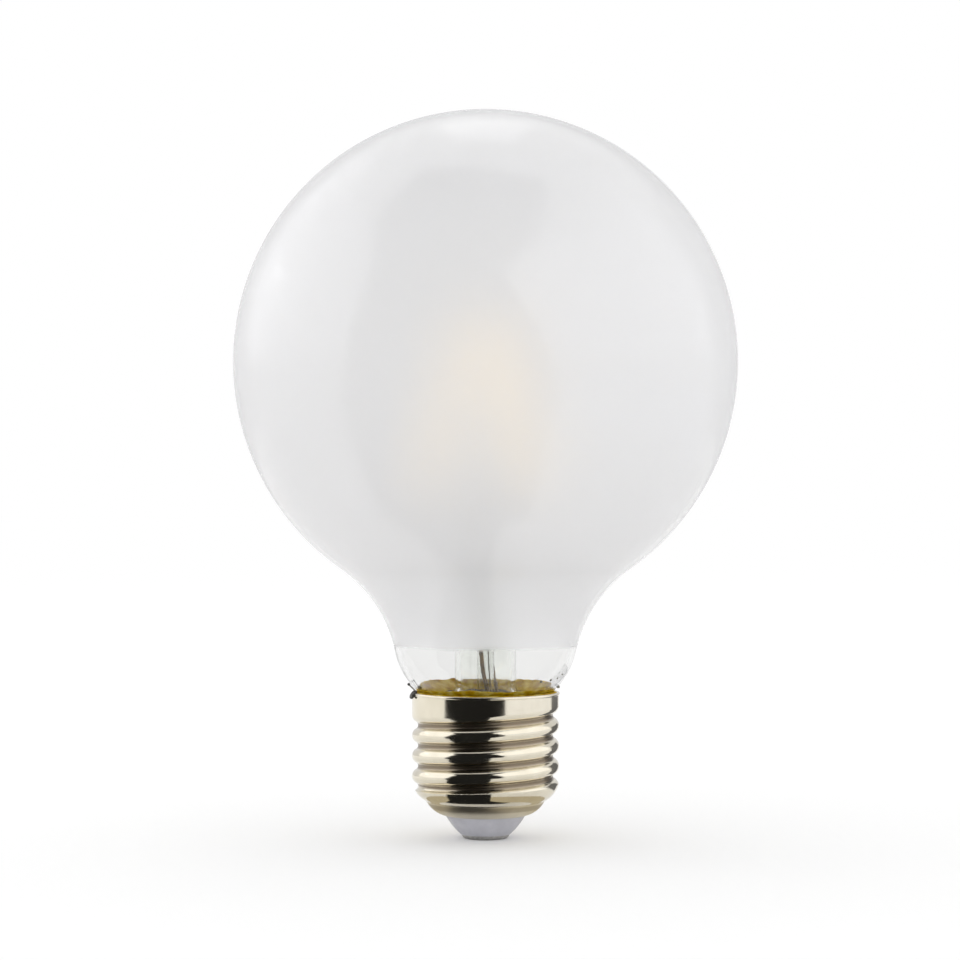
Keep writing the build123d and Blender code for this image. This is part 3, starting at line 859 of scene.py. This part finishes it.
# %% [markdown]
# ## Solder drop
# A thin wire comes out between glass and rim, and the drop holds it. A plain ball would look like a bead.
# So the ball is dented by noise, flattened and leaned over the rim, and its upper end lies at the wire and
# its lower end on the shell. A second small ball sits on the wire's tip.

# %% Solder drop
drop_sides = (0.42 * MM, 0.8 * MM, 0.95 * MM)
drop_dent = 0.18
drop_dents = 1.4
dent_shift = Vector((3, 1, 2))
drop_lean = Matrix.Rotation(math.radians(-36), 3, "Y")
drop_spot = (shell_high.x + 0.12 * MM, 0, rim_height - 0.2 * MM)
solder_low, solder_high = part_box("side_solder")
drop_middle = (solder_low + solder_high) / 2
drop_turn = math.atan2(drop_middle.y, drop_middle.x)
wire_low, wire_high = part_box("side_wire")
tip_radius = 0.26 * MM
tip_inset = 0.1 * MM
tip_spot = (wire_low.x / math.cos(drop_turn) - tip_inset, 0, wire_high.z - tip_inset)

mesh = bmesh.new()
bmesh.ops.create_icosphere(mesh, subdivisions=4, radius=1.0)
for vert in mesh.verts:
    vert.co *= 1 + drop_dent * noise.noise(vert.co * drop_dents + dent_shift)
bmesh.ops.scale(mesh, vec=drop_sides, verts=mesh.verts)
bmesh.ops.rotate(mesh, cent=(0, 0, 0), matrix=drop_lean, verts=mesh.verts)
bmesh.ops.translate(mesh, vec=drop_spot, verts=mesh.verts)
tip = bmesh.ops.create_icosphere(mesh, subdivisions=3, radius=tip_radius)["verts"]
bmesh.ops.translate(mesh, vec=tip_spot, verts=tip)
bmesh.ops.rotate(mesh, cent=(0, 0, 0), matrix=Matrix.Rotation(drop_turn, 3, "Z"), verts=mesh.verts)
piece(mesh, "solder_drop", solder_finish, "solder", "side_solder")

# %% [markdown]
# ## Insulator and contact
# The insulator is moulded in a white plastic with a cool tinge and a soft gloss, and the contact is a
# nickel rivet. Pure white could be used, but the floor lights the insulator from below, and it would look
# too bright. So its tones are light greys: painted shade on the white moulding.

# %% Insulator and contact
insulator_finish, tree, shader = finish("white_moulding")
# These greys are painted shade. The moulding itself is white.
worn_tones(tree, shader, 2 * MM, (0.51, 0.51, 0.56), (0.59, 0.59, 0.64), (0.45, 0.35))
bump(tree, shader, grain(tree, 0.3 * MM), 0.01 * MM)
coat_solids(insulator_finish, "insulator")

contact_finish, tree, shader = finish("nickel_rivet")
shader.inputs["Metallic"].default_value = 1.0
worn_tones(tree, shader, 0.8 * MM, (0.42, 0.41, 0.40), (0.58, 0.57, 0.55), (0.5, 0.35))
bump(tree, shader, grain(tree, 0.2 * MM), 0.01 * MM)
coat_solids(contact_finish, "centre_contact")

# %% [markdown]
# ## Driver
# The driver sits inside the cap, where nobody sees it, but it has its own finishes: a white board, a
# capacitor in a dark sleeve, grey ferrite, black cases and a green resistor. Each could be written out, but
# they only differ in their tones and their gloss, so a loop makes them from a table.

# %% Driver
driver_looks = {
    "white_board": (("driver_board",), (0.80, 0.80, 0.74), (0.88, 0.88, 0.82), (0.5, 0.35)),
    "dark_sleeve": (("capacitor",), (0.03, 0.035, 0.05), (0.06, 0.07, 0.10), (0.35, 0.25)),
    "grey_ferrite": (("inductor_core",), (0.10, 0.10, 0.11), (0.20, 0.20, 0.21), (0.9, 0.7)),
    "black_epoxy": (("rectifier", "driver_chip"), (0.02, 0.02, 0.02), (0.05, 0.05, 0.05), (0.7, 0.5)),
    "green_resistor": (("fuse_resistor",), (0.20, 0.36, 0.32), (0.32, 0.50, 0.46), (0.6, 0.4)),
}

for look, (names, dark, light, rough) in driver_looks.items():
    driver_finish, tree, shader = finish(look)
    worn_tones(tree, shader, 0.8 * MM, dark, light, rough)
    bump(tree, shader, grain(tree, 0.2 * MM), 0.02 * MM)
    coat_solids(driver_finish, *names)
